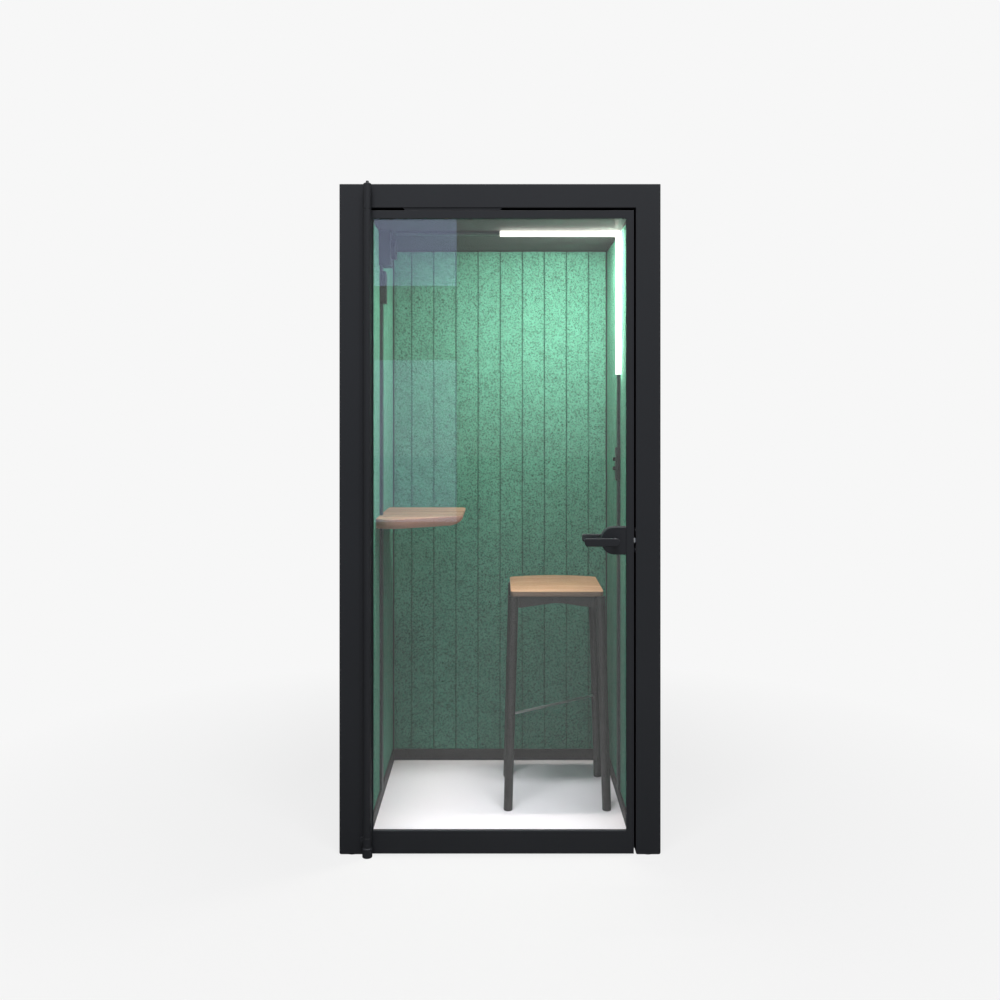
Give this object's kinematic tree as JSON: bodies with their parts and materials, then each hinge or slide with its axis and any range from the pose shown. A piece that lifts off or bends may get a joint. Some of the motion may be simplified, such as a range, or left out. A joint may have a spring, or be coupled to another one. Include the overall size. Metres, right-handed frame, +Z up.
{
  "type": "acoustic office pod",
  "caption": "Free-standing felt-lined acoustic booth with a glazed hinged door, lever lock, rail-mounted lights, dials and fan, a wall table and a stool.",
  "frame": {"origin": "centre of the overall box, on the ground plane under the feet", "axes": "+X to the right as seen from the door side, the door faces -Y, +Z up"},
  "size_m": [1, 0.992, 2.0955],
  "materials": {
    "powder_coat": "satin charcoal powder coat",
    "felt": "pressed polyester felt, green, flecked",
    "wool_core": "acoustic wool board",
    "ceiling_paint": "matt dark grey",
    "floor_laminate": "white laminate",
    "door_pane": "clear laminated safety glass",
    "black_rubber": "matt",
    "bright_steel": "brushed",
    "dark_plastic": "fine grained",
    "rail_aluminium": "dark anodised",
    "opal_cover": "opal, lit from inside",
    "oak": "light oak, matt lacquer",
    "stained_wood": "dark grey stained, matt"
  },
  "bodies": {
    "cabin": {"front_stile_left": "powder_coat", "front_stile_right": "powder_coat", "front_header": "powder_coat", "left_wall_panel": "powder_coat", "right_wall_panel": "powder_coat", "back_wall_panel": "powder_coat", "roof_panel": "powder_coat", "skirting_left": "powder_coat", "skirting_right": "powder_coat", "skirting_back": "powder_coat", "head_bar": "powder_coat", "hinge_pivot_top": "powder_coat", "hinge_pivot_bottom": "powder_coat", "table_bracket": "powder_coat", "felt_left": "felt", "felt_right": "felt", "felt_back": "felt", "left_wall_core": "wool_core", "right_wall_core": "wool_core", "back_wall_core": "wool_core", "roof_core": "wool_core", "ceiling_panel": "ceiling_paint", "floor_panel": "floor_laminate", "door_seal": "black_rubber", "foot_front_left": "black_rubber", "foot_front_right": "black_rubber", "foot_rear_left": "black_rubber", "foot_rear_right": "black_rubber", "strike_plate": "bright_steel", "stool_brace": "bright_steel", "control_box": "dark_plastic", "driver_box": "dark_plastic", "fan_housing": "dark_plastic", "fan_guard": "dark_plastic", "rail_left": "rail_aluminium", "rail_ceiling": "rail_aluminium", "rail_right": "rail_aluminium", "light_ceiling": "opal_cover", "light_wall": "opal_cover", "table_top": "oak", "stool_seat": "oak", "stool_leg_front_left": "stained_wood", "stool_leg_front_right": "stained_wood", "stool_leg_rear_left": "stained_wood", "stool_leg_rear_right": "stained_wood", "stool_apron": "stained_wood"},
    "door": {"hinge_tube": "powder_coat", "door_stile_hinge": "powder_coat", "door_stile_lock": "powder_coat", "door_rail_top": "powder_coat", "door_rail_bottom": "powder_coat", "door_glass": "door_pane", "lock_plate_outer": "powder_coat", "lock_plate_inner": "powder_coat"},
    "latch": {"latch_bolt": "bright_steel"},
    "lever": {"lever_outer": "powder_coat", "lever_inner": "powder_coat"},
    "dial_upper": {"knob_upper": "dark_plastic"},
    "dial_lower": {"knob_lower": "dark_plastic"},
    "rotor": {"fan_rotor": "dark_plastic"}
  },
  "joints": [
    {"name": "door_swing", "type": "hinge", "parent": "cabin", "child": "door", "pos_m": [-0.411, -0.465, 1], "axis": [0, 0, -1], "range_deg": [0, 105]},
    {"name": "lever_turn", "type": "hinge", "parent": "door", "child": "lever", "pos_m": [0.357, -0.429, 0.978], "axis": [0, -1, 0], "range_deg": [0, 40], "stiffness_Nm_per_rad": 1.5, "springref_deg": -20.05},
    {"name": "latch_slide", "type": "slide", "parent": "door", "child": "latch", "axis": [-1, 0, 0], "range_m": [0, 0.012]},
    {"name": "dial_upper_turn", "type": "hinge", "parent": "cabin", "child": "dial_upper", "pos_m": [0.4047, -0.025, 1.2135], "axis": [1, 0, 0], "range_deg": [-135, 135]},
    {"name": "dial_lower_turn", "type": "hinge", "parent": "cabin", "child": "dial_lower", "pos_m": [0.4047, -0.025, 1.1815], "axis": [1, 0, 0], "range_deg": [-135, 135]},
    {"name": "fan_spin", "type": "hinge", "parent": "cabin", "child": "rotor", "pos_m": [-0.388, -0.025, 1.9492], "axis": [1, 0, 0], "continuous": true}
  ],
  "couplings": [
    {"joint": "latch_slide", "follows": "lever_turn", "m_per_rad": 0.0171}
  ]
}
